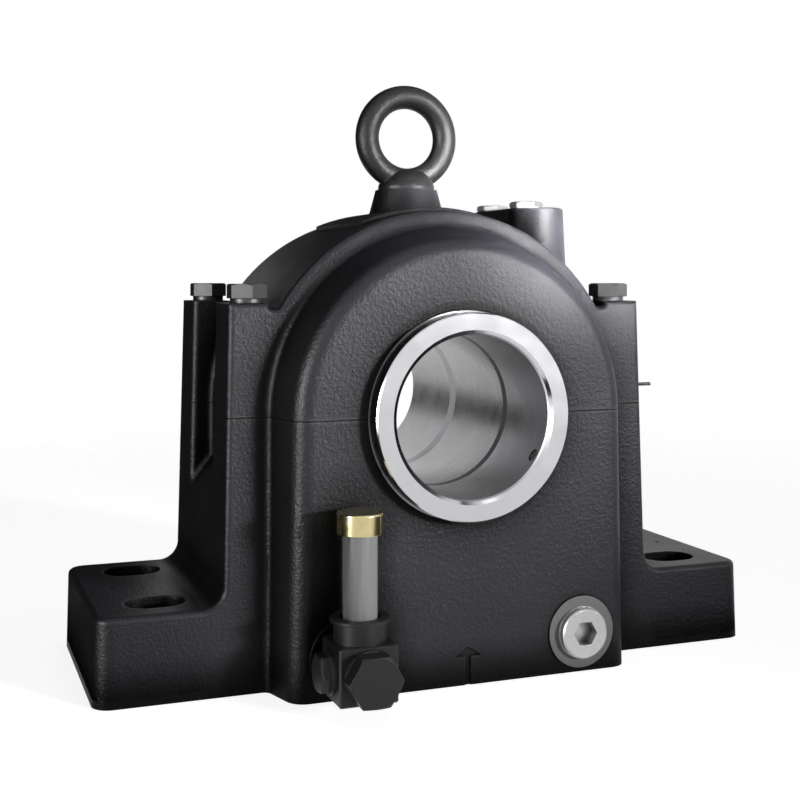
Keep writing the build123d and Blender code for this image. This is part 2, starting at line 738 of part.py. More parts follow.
gauge_axis = Axis((gauge_x, gauge_y, 0), (0, 0, 1))
gauge_plane = Plane(origin=(gauge_x, gauge_y, 0), x_dir=(1, 0, 0), z_dir=(0, -1, 0))
with BuildPart() as gauge_collar:
    rim_foot = block_top + collar_height
    rim_top = rim_foot + collar_rim_height
    turn([(block_bore_r, block_top), (collar_r, block_top), (collar_r, rim_foot), (collar_rim_r, rim_foot),
          (collar_rim_r, rim_top - collar_rim_edge), (collar_rim_r - collar_rim_edge, rim_top),
          (collar_bore_r, rim_top), (collar_bore_r, tube_foot), (block_bore_r, tube_foot)],
         axis=gauge_axis, plane=gauge_plane)
save(gauge_collar, "gauge_collar")

with BuildPart() as tube_seal:
    turn([(tube_r, tube_foot), (collar_bore_r, tube_foot), (collar_bore_r, tube_foot + tube_seal_height),
          (tube_r, tube_foot + tube_seal_height)], axis=gauge_axis, plane=gauge_plane)
save(tube_seal, "tube_seal")

with BuildPart() as sight_tube:
    turn([(tube_r - tube_wall, tube_foot), (tube_r, tube_foot), (tube_r, tube_top),
          (tube_r - tube_wall, tube_top)], axis=gauge_axis, plane=gauge_plane)
save(sight_tube, "sight_tube")

with BuildPart() as sight_cap:
    cap_top = sight_cap_bottom + sight_cap_height
    turn([(0, cap_top), (sight_cap_r, cap_top), (sight_cap_r, sight_cap_bottom), (tube_r, sight_cap_bottom),
          (tube_r, tube_top), (0, tube_top)], axis=gauge_axis, plane=gauge_plane)
    fillet(sight_cap.edges().sort_by(Axis.Z)[-1], sight_cap_edge_r)
save(sight_cap, "sight_cap")

# ---- seal rings with their labyrinth fins and slingers ------------------------------------------
def ring_outline():
    # (distance from the middle, radius) from the bore mouth over the face and the fins to the slinger
    mouth_r = shaft_r + seal_ring_chamfer
    outline = [(seal_ring_face - seal_ring_chamfer, shaft_r), (seal_ring_face, mouth_r),
               (seal_ring_face, seal_ring_r - seal_ring_edge), (seal_ring_face - seal_ring_edge, seal_ring_r)]
    for inner_face in [nose_face - inset for inset in reversed(fin_insets)]:
        outline += [(inner_face + fin_width, seal_ring_r), (inner_face + fin_width, fin_r),
                    (inner_face, fin_r), (inner_face, seal_ring_r)]
    outline += [(slinger_face, seal_ring_r), (slinger_face, slinger_r),
                (slinger_face - slinger_width, slinger_r), (slinger_face - slinger_width, ring_spigot_r)]
    return outline


def set_screw_plane(angle):
    # on the shaft's axis, facing out along a set screw
    return Plane(origin=(0, set_screw_inset - seal_ring_face, shaft_height), x_dir=(0, 1, 0),
                 z_dir=(cos(radians(angle)), 0, sin(radians(angle))))


with BuildPart() as seal_ring_front:
    front_end = sleeve_front - ring_end_gap
    turn([(-y, r) for y, r in ring_outline()] + [(front_end, ring_spigot_r), (front_end, shaft_r)])
    for angle in set_screw_angles:
        with BuildSketch(set_screw_plane(angle).offset(shaft_r - overcut)):
            Circle(set_screw_r)
        extrude(amount=seal_ring_r - shaft_r + 2 * overcut, mode=Mode.SUBTRACT)
save(seal_ring_front, "seal_ring_front")

with BuildPart() as seal_ring_rear:
    seat_low = pickup_y - pickup_width / 2 - pickup_side_play
    seat_high = pickup_y + pickup_width / 2 + pickup_side_play
    rear_start = sleeve_rear + ring_end_gap
    turn(ring_outline() + [
        (seat_high + pickup_flange_width, ring_spigot_r), (seat_high + pickup_flange_width, pickup_flange_r),
        (seat_high, pickup_flange_r), (seat_high, pickup_seat_r), (seat_low, pickup_seat_r),
        (seat_low, pickup_flange_r), (seat_low - pickup_flange_width, pickup_flange_r),
        (seat_low - pickup_flange_width, ring_spigot_r), (rear_start, ring_spigot_r),
        (rear_start, shaft_r + ring_lead_rise), (rear_start + ring_lead_in, shaft_r)])
save(seal_ring_rear, "seal_ring_rear")

with BuildPart() as set_screw:
    # its point on the origin and the socket at the other end
    rod(set_screw_r, 0, set_screw_depth)
    chamfer(set_screw.edges().sort_by(Axis.Z)[0], set_screw_point)
    with BuildSketch(Plane.XY.offset(set_screw_depth)):
        RegularPolygon(hexagon_across(set_screw_socket_flats), 6)
    extrude(amount=-set_screw_depth / 2, mode=Mode.SUBTRACT)

with BuildPart() as set_screws:
    for angle in set_screw_angles:
        with Locations(set_screw_plane(angle).offset(shaft_r + set_screw_recess)):
            add(set_screw.part)
save(set_screws, "set_screws")

# ---- adapter sleeve, lock nut and lock washer ---------------------------------------------------
def sleeve_r_at(y):
    # outside of the sleeve: straight under the nut, then the bearing's taper
    return bearing_bore_r + max(y + bearing_width / 2, 0) * taper_ratio / 2


with BuildPart() as adapter_sleeve:
    small_end = -bearing_width / 2
    turn([(sleeve_front, shaft_r + sleeve_lead_rise), (sleeve_front, bearing_bore_r),
          (small_end, bearing_bore_r), (sleeve_rear, sleeve_r_at(sleeve_rear)), (sleeve_rear, shaft_r),
          (sleeve_front + sleeve_lead_in, shaft_r)])
    with Locations((-(bearing_bore_r + shaft_r) / 2, (sleeve_front + sleeve_rear) / 2, shaft_height)):
        Box(3 * sleeve_wall, sleeve_rear - sleeve_front + 2 * overcut, sleeve_slit, mode=Mode.SUBTRACT)
save(adapter_sleeve, "adapter_sleeve")

with BuildPart() as lock_nut:
    turn([(nut_rear, bearing_bore_r), (nut_rear, nut_r), (nut_rear - nut_width, nut_r),
          (nut_rear - nut_width, bearing_bore_r)])
    for slot in range(nut_slot_count):
        slot_angle = radians(nut_slot_turn + slot * 360 / nut_slot_count)
        slot_plane = Plane(origin=(0, nut_rear - nut_width / 2, shaft_height), x_dir=(0, 1, 0),
                           z_dir=(cos(slot_angle), 0, sin(slot_angle)))
        with BuildSketch(slot_plane.offset(nut_r - nut_slot_depth)):
            Rectangle(nut_width + 2 * overcut, nut_slot_width)
        extrude(amount=nut_slot_depth + overcut, mode=Mode.SUBTRACT)
save(lock_nut, "lock_nut")

with BuildPart() as lock_washer:
    turn([(-bearing_width / 2, bearing_bore_r), (-bearing_width / 2, lock_washer_r), (nut_rear, lock_washer_r),
          (nut_rear, bearing_bore_r)])
save(lock_washer, "lock_washer")

# ---- bearing ------------------------------------------------------------------------------------
with BuildPart() as bearing_outer_ring:
    edge_r = sqrt(bearing_sphere_r ** 2 - (bearing_width / 2) ** 2)
    with BuildSketch(axial_plane):
        with BuildLine():
            Polyline((-bearing_width / 2, edge_r), (-bearing_width / 2, bearing_outer_r),
                     (bearing_width / 2, bearing_outer_r), (bearing_width / 2, edge_r))
            ThreePointArc((bearing_width / 2, edge_r), (0, bearing_sphere_r), (-bearing_width / 2, edge_r))
        make_face()
    revolve(axis=shaft_axis)
save(bearing_outer_ring, "bearing_outer_ring")

with BuildPart() as bearing_inner_ring:
    half = bearing_width / 2
    land = half - inner_lip_width
    small_r, large_r = bearing_bore_r, sleeve_r_at(half)
    # each raceway follows the roller's own curve, whose centre lies across the roller
    race_centre_y = 2 * roller_y
    race_centre_r = 2 * roller_z
    race_r = roller_reach + roller_r + roller_play
    turn([(-half, small_r), (-half, inner_lip_r), (-land, inner_lip_r), (-land, roller_z), (land, roller_z),
          (land, inner_lip_r), (half, inner_lip_r), (half, large_r)])
    with BuildSketch(axial_plane) as raceways:
        with Locations((race_centre_y, race_centre_r), (-race_centre_y, race_centre_r)):
            Circle(race_r)
        with Locations((0, race_centre_r)):
            Rectangle(2 * land, 2 * race_r, mode=Mode.INTERSECT)
    revolve(raceways.sketch, axis=shaft_axis, mode=Mode.SUBTRACT)
save(bearing_inner_ring, "bearing_inner_ring")


def around_shaft(shape, row):
    # copies of one roller's shape right round the shaft; the rows are half a pitch apart
    pitch = 360 / roller_count
    return [shape.rotate(shaft_axis, (place + row / 2) * pitch) for place in range(roller_count)]


def roller_plane(row):
    # centre of the topmost roller, with x along the roller and y outwards
    tilt = radians(roller_tilt)
    side = 1 if row else -1
    return Plane(origin=(0, side * roller_y, shaft_height + roller_z), x_dir=(0, cos(tilt), -side * sin(tilt)),
                 z_dir=(1, 0, 0))


with BuildPart() as roller:
    # one barrel roller, lying along the origin's x
    half = roller_length / 2
    end_r = sqrt(barrel_generator_r ** 2 - half ** 2) - roller_reach
    with BuildSketch() as roller_outline:
        with BuildLine():
            Polyline((half, end_r), (half, 0), (-half, 0), (-half, end_r))
            ThreePointArc((-half, end_r), (0, roller_r), (half, end_r))
        make_face()
    revolve(roller_outline.sketch, axis=Axis.X)

with BuildPart() as rollers:
    for row in (0, 1):
        add(around_shaft(roller_plane(row) * roller.part, row))
save(rollers, "rollers")

with BuildPart() as cage_window:
    Box(roller_length + 2 * cage_play, 2 * (roller_r + cage_play), 2 * (roller_r + cage_play))

with BuildPart() as roller_cage:
    cage_inner_r, cage_outer_r = roller_z - cage_wall / 2, roller_z + cage_wall / 2
    turn([(-cage_width / 2, cage_inner_r), (-cage_width / 2, cage_outer_r), (cage_width / 2, cage_outer_r),
          (cage_width / 2, cage_inner_r)])
    for row in (0, 1):
        add(around_shaft(roller_plane(row) * cage_window.part, row), mode=Mode.SUBTRACT)
save(roller_cage, "roller_cage")

with BuildPart() as locating_rings:
    for side in (-1, 1):
        near, far = side * bearing_width / 2, side * seat_half_width
        turn([(near, locating_ring_inner_r), (near, bearing_outer_r), (far, bearing_outer_r),
              (far, locating_ring_inner_r)])
save(locating_rings, "locating_rings")

# ---- oil pickup ring ----------------------------------------------------------------------------
with BuildPart() as oil_pickup_ring:
    low, high = pickup_y - pickup_width / 2, pickup_y + pickup_width / 2
    turn([(low, pickup_inner_r), (low, pickup_inner_r + pickup_wall), (high, pickup_inner_r + pickup_wall),
          (high, pickup_inner_r)], axis=Axis((0, 0, pickup_z), (0, 1, 0)),
         plane=Plane(origin=(0, 0, pickup_z), x_dir=(0, 1, 0), z_dir=(1, 0, 0)))
save(oil_pickup_ring, "oil_pickup_ring")

# ---- flank pin ----------------------------------------------------------------------------------
with BuildPart() as flank_pin:
    with BuildSketch(Plane.YZ.offset(pin_tip_x)):
        with Locations((pin_y, shaft_height + pin_above_split)):
            Circle(pin_r)
    extrude(amount=-pin_length)
save(flank_pin, "flank_pin")
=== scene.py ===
import json
import math
import bpy
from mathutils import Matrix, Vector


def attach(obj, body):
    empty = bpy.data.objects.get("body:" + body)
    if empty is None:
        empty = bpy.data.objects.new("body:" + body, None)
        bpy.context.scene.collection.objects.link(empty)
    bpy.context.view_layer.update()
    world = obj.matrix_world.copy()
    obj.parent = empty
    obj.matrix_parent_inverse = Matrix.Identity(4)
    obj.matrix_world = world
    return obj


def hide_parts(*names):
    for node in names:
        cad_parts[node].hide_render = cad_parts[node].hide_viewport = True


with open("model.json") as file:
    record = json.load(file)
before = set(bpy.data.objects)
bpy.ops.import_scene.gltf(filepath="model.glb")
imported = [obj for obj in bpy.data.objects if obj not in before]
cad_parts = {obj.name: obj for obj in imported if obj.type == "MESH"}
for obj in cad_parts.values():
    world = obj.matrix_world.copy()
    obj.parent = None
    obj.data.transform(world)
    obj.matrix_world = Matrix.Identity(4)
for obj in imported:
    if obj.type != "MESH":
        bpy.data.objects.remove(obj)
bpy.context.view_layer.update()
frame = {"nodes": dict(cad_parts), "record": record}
nodes = frame["nodes"]
mm = 0.001
print("plummer block frame loaded:", len(nodes), "nodes")

# camera, at the front left and level, with its lens shifted down to keep the uprights straight
cameraSettings = {
    "place": (-267.24 * mm, -688.79 * mm, 211.33 * mm),
    "turn": -20.4,
    "lens": 56.715,
    "filmWidth": 36,
    "shift": (0.0146, -0.1519),
}
cameraData = bpy.data.cameras.new("blockCamera")
cameraData.lens = cameraSettings["lens"]
cameraData.sensor_width = cameraSettings["filmWidth"]
cameraData.shift_x, cameraData.shift_y = cameraSettings["shift"]
camera = bpy.data.objects.new("blockCamera", cameraData)
camera.location = cameraSettings["place"]
camera.rotation_euler = (math.pi / 2, 0, math.radians(cameraSettings["turn"]))
bpy.context.scene.collection.objects.link(camera)
bpy.context.scene.camera = camera
bpy.context.scene.view_settings.view_transform = "Standard"


# small helpers for the node trees
def addNode(tree, kind, settings=None, **inputs):
    node = tree.nodes.new(kind)
    for key, value in (settings or {}).items():
        setattr(node, key, value)
    for key, value in inputs.items():
        node.inputs[key].default_value = value
    return node


def feed(tree, value, socket):
    # an output is linked, a colour gets its alpha, and any other value is typed into the socket
    if isinstance(value, bpy.types.NodeSocket):
        tree.links.new(value, socket)
    elif socket.type == "RGBA":
        socket.default_value = (*value, 1)
    else:
        socket.default_value = value


def calculate(tree, operation, *values):
    node = addNode(tree, "ShaderNodeMath", {"operation": operation})
    for value, socket in zip(values, node.inputs):
        feed(tree, value, socket)
    return node.outputs["Value"]


def calculateVector(tree, operation, *values, result="Value"):
    node = addNode(tree, "ShaderNodeVectorMath", {"operation": operation})
    for value, socket in zip(values, node.inputs):
        feed(tree, value, socket)
    return node.outputs[result]


def splitPlace(tree, place):
    parts = addNode(tree, "ShaderNodeSeparateXYZ")
    tree.links.new(place, parts.inputs["Vector"])
    return parts.outputs["X"], parts.outputs["Y"], parts.outputs["Z"]


def joinPlace(tree, x, y, z):
    place = addNode(tree, "ShaderNodeCombineXYZ")
    for value, socket in zip((x, y, z), place.inputs):
        feed(tree, value, socket)
    return place.outputs["Vector"]


def objectPlace(tree, stretch=(1, 1, 1)):
    source = addNode(tree, "ShaderNodeTexCoord")
    mapping = addNode(tree, "ShaderNodeMapping", Scale=stretch)
    tree.links.new(source.outputs["Object"], mapping.inputs["Vector"])
    return mapping.outputs["Vector"]


def newFinish(name):
    finish = bpy.data.materials.new(name)
    finish.use_nodes = True
    return finish, finish.node_tree


def dress(tree, looks):
    shader = tree.nodes["Principled BSDF"]
    for name, value in looks.items():
        feed(tree, value, shader.inputs[name])


def grain(tree, place, size, detail=2.0, roughness=0.5):
    noise = addNode(tree, "ShaderNodeTexNoise", Scale=1 / size, Detail=detail, Roughness=roughness)
    tree.links.new(place, noise.inputs["Vector"])
    return noise.outputs["Fac"]


def spread(tree, value, low, high, fromLow=0.3, fromHigh=0.7):
    # by default it starts from the range that a noise seldom leaves
    ramp = addNode(tree, "ShaderNodeMapRange", **{
        "From Min": fromLow, "From Max": fromHigh, "To Min": low, "To Max": high,
    })
    tree.links.new(value, ramp.inputs["Value"])
    return ramp.outputs["Result"]


def blend(tree, factor, first, second, kind="RGBA"):
    mix = addNode(tree, "ShaderNodeMix", {"data_type": kind})
    for name, value in (("Factor", factor), ("A", first), ("B", second)):
        feed(tree, value, mix.inputs[name])
    return mix.outputs["Result"]


def addBump(tree, height, depth, normal=None):
    bump = addNode(tree, "ShaderNodeBump", Strength=1, Distance=depth)
    tree.links.new(height, bump.inputs["Height"])
    if normal:
        tree.links.new(normal, bump.inputs["Normal"])
    return bump.outputs["Normal"]


raySamples = 6  # for each test of an edge or a hollow


def softEdges(tree, radius):
    return addNode(tree, "ShaderNodeBevel", {"samples": raySamples}, Radius=radius).outputs["Normal"]


def edgeHighlightMask(tree, radius, low=0.02, high=0.3):
    # edges are where the rounded normal turns away from the plain one, and the paint is lightened there
    # as a painted highlight
    plain = addNode(tree, "ShaderNodeNewGeometry").outputs["Normal"]
    likeness = calculateVector(tree, "DOT_PRODUCT", softEdges(tree, radius), plain)
    return spread(tree, calculate(tree, "SUBTRACT", 1, likeness), 0, 1, low, high)


def hollowShadeMask(tree, reach, openness):
    # hollows are where other surfaces within reach shut out the open space; the finishes paint shade
    # into them there
    shelter = addNode(tree, "ShaderNodeAmbientOcclusion", {"samples": raySamples}, Distance=reach)
    return spread(tree, shelter.outputs["AO"], 1, 0, *openness)


# painted castings: black satin paint over coarse sand-cast iron, with the joint of cap and base showing
def jointMask(tree, height, width):
    # the thin dark line where the cap meets the base
    z = splitPlace(tree, objectPlace(tree))[2]
    return calculate(tree, "COMPARE", z, height, width)


def portMask(tree, middle, radius, front):
    # the bare machined disc round the drain port, on the front only
    fromPort = calculateVector(tree, "SUBTRACT", objectPlace(tree), middle, result="Vector")
    x, y, z = splitPlace(tree, fromPort)
    reach = calculateVector(tree, "LENGTH", joinPlace(tree, x, 0, z))
    inside = calculate(tree, "LESS_THAN", reach, radius)
    before = calculate(tree, "LESS_THAN", y, front)
    return calculate(tree, "MULTIPLY", inside, before)


def paintFinish(name, settings):
    finish, tree = newFinish(name)
    place = objectPlace(tree)
    peel = grain(tree, place, settings["peel"], detail=1.5, roughness=0.45)
    fine = grain(tree, place, settings["fine"])
    patches = grain(tree, place, settings["patches"], detail=3)
    colour = blend(tree, spread(tree, patches, 0, 1), settings["colour"], settings["patch"])
    # painted highlight: the rounded edges get the lighter edge colour, standing in for the lamps' light
    # along them
    colour = blend(tree, edgeHighlightMask(tree, settings["highlightRadius"]), colour, settings["edge"])
    specular = settings["specular"]
    # painted shade: the hollows are darkened and lose most of their reflection
    if "recess" in settings:
        hollowShade = hollowShadeMask(tree, settings["recess"], settings["openness"])
        colour = blend(tree, hollowShade, colour, settings["recessColour"])
        specular = spread(tree, hollowShade, specular, settings["recessSpecular"], 0, 1)
    if "jointHeight" in settings:
        joint = jointMask(tree, settings["jointHeight"], settings["jointWidth"])
        colour = blend(tree, joint, colour, settings["jointColour"])
    if "portMiddle" in settings:
        disc = portMask(tree, settings["portMiddle"], settings["portRadius"], settings["portFront"])
        colour = blend(tree, disc, colour, settings["portColour"])
    normal = addBump(tree, peel, settings["peelDepth"], softEdges(tree, settings["edgeRadius"]))
    normal = addBump(tree, fine, settings["fineDepth"], normal)
    dress(tree, {
        "Base Color": colour,
        "Roughness": spread(tree, patches, *settings["roughness"]),
        "Specular IOR Level": specular,
        "Coat Weight": settings["coat"],
        "Coat Roughness": settings["coatRoughness"],
        "Normal": normal,
        "Coat Normal": normal,
    })
    return finish


castingPaint = paintFinish("castingPaint", {
    "colour": (0.027, 0.0255, 0.032), "patch": (0.022, 0.021, 0.026), "edge": (0.095, 0.093, 0.1),
    "roughness": (0.42, 0.5), "specular": 0.2, "coat": 0.05, "coatRoughness": 0.34,
    "peel": 1.8 * mm, "fine": 0.8 * mm, "patches": 38 * mm,
    "peelDepth": 0.27 * mm, "fineDepth": 0.17 * mm, "edgeRadius": 1.0 * mm, "highlightRadius": 4 * mm,
    "recess": 26 * mm, "openness": (0.68, 0.98), "recessColour": (0.004, 0.004, 0.004),
    "recessSpecular": 0.02,
    "jointHeight": 140 * mm, "jointWidth": 0.45 * mm, "jointColour": (0.003, 0.003, 0.003),
    "portMiddle": (66.3 * mm, 0, 21.5 * mm), "portRadius": 19.2 * mm, "portFront": -89.4 * mm,
    "portColour": (0.26, 0.26, 0.265),
})
eyePaint = paintFinish("eyePaint", {
    "colour": (0.013, 0.013, 0.014), "patch": (0.01, 0.01, 0.011), "edge": (0.035, 0.035, 0.036),
    "roughness": (0.42, 0.52), "specular": 0.26, "coat": 0.05, "coatRoughness": 0.34,
    "peel": 2.4 * mm, "fine": 0.9 * mm, "patches": 20 * mm,
    "peelDepth": 0.3 * mm, "fineDepth": 0.14 * mm, "edgeRadius": 0.8 * mm, "highlightRadius": 1 * mm,
})
gaugeBlack = paintFinish("gaugeBlack", {
    "colour": (0.009, 0.009, 0.01), "patch": (0.007, 0.007, 0.008), "edge": (0.04, 0.04, 0.042),
    "roughness": (0.42, 0.52), "specular": 0.26, "coat": 0.06, "coatRoughness": 0.3,
    "peel": 1.2 * mm, "fine": 0.4 * mm, "patches": 14 * mm,
    "peelDepth": 0.03 * mm, "fineDepth": 0.008 * mm, "edgeRadius": 0.35 * mm, "highlightRadius": 0.6 * mm,
})


# metals turned on a lathe: fine rings about the shaft's axis, and light drawn out across them
def turnedPlace(tree, axisHeight, alongAngle):
    x, y, z = splitPlace(tree, objectPlace(tree))
    rise = calculate(tree, "SUBTRACT", z, axisHeight)
    radius = calculateVector(tree, "LENGTH", joinPlace(tree, x, rise, 0))
    angle = calculate(tree, "ARCTAN2", rise, x)
    return joinPlace(tree, radius, y, calculate(tree, "MULTIPLY", angle, alongAngle))


def faceMask(tree, distance):
    # the end faces, which lie far out along the shaft and are cut smoother than the rest, and are
    # painted lighter than the shaded bore
    y = splitPlace(tree, objectPlace(tree))[1]
    return calculate(tree, "GREATER_THAN", calculate(tree, "ABSOLUTE", y), distance)


def turnedFinish(name, settings):
    finish, tree = newFinish(name)
    place = turnedPlace(tree, settings["axisHeight"], settings["alongAngle"])
    rings = grain(tree, place, settings["rings"], detail=3, roughness=0.6)
    clouds = grain(tree, objectPlace(tree), settings["clouds"], detail=3)
    colour = blend(tree, spread(tree, rings, 0, 1), settings["colour"], settings["shade"])
    roughness = spread(tree, clouds, *settings["roughness"])
    drawn = settings["drawn"]
    if "faceAt" in settings:
        face = faceMask(tree, settings["faceAt"])
        # painted light and shade: the end faces take a lighter colour of the same steel than the bore
        # and the other turned surfaces
        colour = blend(tree, face, colour, settings["litFaceColour"])
        faceRoughness = spread(tree, clouds, *settings["faceRoughness"])
        roughness = blend(tree, face, roughness, faceRoughness, kind="FLOAT")
        drawn = spread(tree, face, drawn, settings["faceDrawn"], 0, 1)
    tangent = addNode(tree, "ShaderNodeTangent", {"direction_type": "RADIAL", "axis": "Y"})
    dress(tree, {
        "Base Color": colour,
        "Roughness": roughness,
        "Metallic": 1,
        "Anisotropic": drawn,
        "Tangent": tangent.outputs["Tangent"],
    })
    return finish


turnedSteel = turnedFinish("turnedSteel", {
    "colour": (0.34, 0.34, 0.35), "shade": (0.25, 0.25, 0.26), "roughness": (0.26, 0.32), "drawn": 0.75,
    "faceAt": 97.2 * mm, "litFaceColour": (0.57, 0.57, 0.59), "faceRoughness": (0.11, 0.15),
    "faceDrawn": 0.1,
    "axisHeight": 140 * mm, "alongAngle": 2 * mm, "rings": 0.8 * mm, "clouds": 14 * mm,
})
bearingSteel = turnedFinish("bearingSteel", {
    "colour": (0.6, 0.6, 0.61), "shade": (0.54, 0.54, 0.55), "roughness": (0.16, 0.22), "drawn": 0.4,
    "axisHeight": 140 * mm, "alongAngle": 2 * mm, "rings": 0.4 * mm, "clouds": 10 * mm,
})


# smaller metal parts: fine scratches and a slightly clouded surface
def metalFinish(name, settings):
    finish, tree = newFinish(name)
    clouds = grain(tree, objectPlace(tree), settings["clouds"], detail=3)
    marks = grain(tree, objectPlace(tree, settings["markStretch"]), settings["marks"])
    colour = blend(tree, spread(tree, clouds, 0, 1), settings["colour"], settings["shade"])
    # painted shade: the hollows are darkened
    if "recess" in settings:
        hollowShade = hollowShadeMask(tree, settings["recess"], settings["openness"])
        colour = blend(tree, hollowShade, colour, settings["recessColour"])
    dress(tree, {
        "Base Color": colour,
        "Roughness": spread(tree, clouds, *settings["roughness"]),
        "Metallic": settings.get("metallic", 1),
        "Normal": addBump(tree, marks, settings["markDepth"], softEdges(tree, settings["edgeRadius"])),
    })
    return finish


brightSteel = metalFinish("brightSteel", {
    "colour": (0.6, 0.6, 0.61), "shade": (0.5, 0.5, 0.51), "roughness": (0.25, 0.38),
    "clouds": 6 * mm, "marks": 0.3 * mm, "markStretch": (1, 1, 0.1), "markDepth": 0.005 * mm,
    "edgeRadius": 0.25 * mm,
})
boltSteel = metalFinish("boltSteel", {
    "colour": (0.07, 0.07, 0.072), "shade": (0.055, 0.055, 0.057), "roughness": (0.38, 0.46),
    "clouds": 5 * mm, "marks": 0.4 * mm, "markStretch": (1, 1, 0.1), "markDepth": 0.008 * mm,
    "edgeRadius": 0.5 * mm, "metallic": 0.6,
    "recess": 4 * mm, "openness": (0.25, 0.75), "recessColour": (0.01, 0.01, 0.01),
})
plugAlloy = metalFinish("plugAlloy", {
    "colour": (0.42, 0.42, 0.42), "shade": (0.36, 0.36, 0.36), "roughness": (0.34, 0.44),
    "clouds": 5 * mm, "marks": 0.3 * mm, "markStretch": (0.1, 1, 0.1), "markDepth": 0.004 * mm,
    "edgeRadius": 0.4 * mm,
    "recess": 7 * mm, "openness": (0.25, 0.75), "recessColour": (0.05, 0.05, 0.05),
})
washerAlloy = metalFinish("washerAlloy", {
    "colour": (0.32, 0.32, 0.32), "shade": (0.25, 0.25, 0.25), "roughness": (0.35, 0.45),
    "clouds": 4 * mm, "marks": 0.3 * mm, "markStretch": (1, 1, 1), "markDepth": 0.006 * mm,
    "edgeRadius": 0.2 * mm,
})
sightBrass = metalFinish("sightBrass", {
    "colour": (0.64, 0.56, 0.3), "shade": (0.58, 0.5, 0.27), "roughness": (0.14, 0.2),
    "clouds": 4 * mm, "marks": 0.25 * mm, "markStretch": (0.1, 0.1, 1), "markDepth": 0.002 * mm,
    "edgeRadius": 0.5 * mm,
})
cageBrass = metalFinish("cageBrass", {
    "colour": (0.6, 0.44, 0.18), "shade": (0.5, 0.36, 0.15), "roughness": (0.3, 0.42),
    "clouds": 6 * mm, "marks": 0.4 * mm, "markStretch": (0.1, 1, 0.1), "markDepth": 0.006 * mm,
    "edgeRadius": 0.3 * mm,
})


# the rubber seal under the tube
def rubberFinish(name, settings):
    finish, tree = newFinish(name)
    speckle = grain(tree, objectPlace(tree), settings["speckle"], detail=3)
    dress(tree, {
        "Base Color": blend(tree, speckle, settings["colour"], settings["paler"]),
        "Roughness": spread(tree, speckle, *settings["roughness"]),
        "Normal": addBump(tree, speckle, settings["depth"]),
    })
    return finish


sealRubber = rubberFinish("sealRubber", {
    "colour": (0.012, 0.012, 0.012), "paler": (0.022, 0.022, 0.022), "roughness": (0.55, 0.7),
    "speckle": 0.6 * mm, "depth": 0.02 * mm,
})


# the clouded tube, with faint streaks drawn out along it
def tubeFinish(name, settings):
    finish, tree = newFinish(name)
    streaks = grain(tree, objectPlace(tree, settings["streakStretch"]), settings["streaks"], detail=1)
    dress(tree, {
        "Base Color": blend(tree, spread(tree, streaks, 0, 1), settings["colour"], settings["streak"]),
        "Roughness": spread(tree, streaks, *settings["roughness"]),
        "Transmission Weight": settings["clear"],
        "IOR": settings["refraction"],
        "Normal": addBump(tree, streaks, settings["depth"]),
    })
    return finish


sightTube = tubeFinish("sightTube", {
    "colour": (0.5, 0.5, 0.505), "streak": (0.58, 0.58, 0.585), "roughness": (0.2, 0.26),
    "clear": 0.6, "refraction": 1.4,
    "streaks": 1.6 * mm, "streakStretch": (1, 1, 0.04), "depth": 0.003 * mm,
})

finishes = {
    "casting_paint": castingPaint, "eye_paint": eyePaint, "gauge_black": gaugeBlack,
    "turned_steel": turnedSteel, "bright_steel": brightSteel, "bolt_steel": boltSteel,
    "plug_alloy": plugAlloy, "washer_alloy": washerAlloy, "bearing_steel": bearingSteel,
    "sight_brass": sightBrass, "cage_brass": cageBrass, "seal_rubber": sealRubber,
    "sight_tube": sightTube,
}
for part in frame["record"]["subparts"]:
    piece = nodes[part["node"]]
    piece.data.materials.clear()
    piece.data.materials.append(finishes[part["material_slot"]])
print("finishes given to the nodes")


# the stage: floor, flags, daylight and lamps
def placeFlat(thing, settings):
    thing.location = settings["place"]
    aim = Vector(settings["aim"]) - Vector(settings["place"])
    thing.rotation_euler = aim.to_track_quat("-Z", "Y").to_euler()
    bpy.context.scene.collection.objects.link(thing)


def flatMesh(name, width, depth):
    x, y = width / 2, depth / 2
    mesh = bpy.data.meshes.new(name)
    mesh.from_pydata([(-x, -y, 0), (x, -y, 0), (x, y, 0), (-x, y, 0)], [], [(0, 1, 2, 3)])
    return mesh


def seenRays(tree):
    # the rays that show the background: the camera's, and those that metal and glass send on
    path = addNode(tree, "ShaderNodeLightPath").outputs
    first = calculate(tree, "MAXIMUM", path["Is Camera Ray"], path["Is Glossy Ray"])
    return calculate(tree, "MAXIMUM", first, path["Is Transmission Ray"])


def floorFinish(settings):
    # paper that lights up for the rays that show it, and fades out into the daylight
    finish, tree = newFinish("floorPaper")
    place = objectPlace(tree)
    fadeStart, fadeEnd = settings["fade"]
    fade = addNode(tree, "ShaderNodeMapRange", {"interpolation_type": "SMOOTHSTEP"}, **{
        "From Min": fadeStart, "From Max": fadeEnd, "To Min": 1, "To Max": 0,
    })
    tree.links.new(calculateVector(tree, "LENGTH", place), fade.inputs["Value"])
    speckle = grain(tree, place, settings["grain"], detail=3)
    dress(tree, {
        "Base Color": blend(tree, speckle, settings["colour"], settings["paler"]),
        "Roughness": settings["roughness"],
        "Specular IOR Level": settings["specular"],
        "Emission Color": settings["glow"],
        "Emission Strength": calculate(tree, "MULTIPLY", seenRays(tree), settings["lift"]),
        "Alpha": fade.outputs["Result"],
    })
    return finish


floorSettings = {
    "radius": 1.6, "fade": (0.5, 1.2), "colour": (0.86, 0.86, 0.86), "paler": (0.8858, 0.8858, 0.8858),
    "grain": 2 * mm, "roughness": 0.9, "specular": 0.1, "glow": (1, 1, 1), "lift": 0.86,
}
floorSide = 2 * floorSettings["radius"]
floorMesh = flatMesh("studioFloor", floorSide, floorSide)
floorMesh.materials.append(floorFinish(floorSettings))
floor = bpy.data.objects.new("studioFloor", floorMesh)
bpy.context.scene.collection.objects.link(floor)

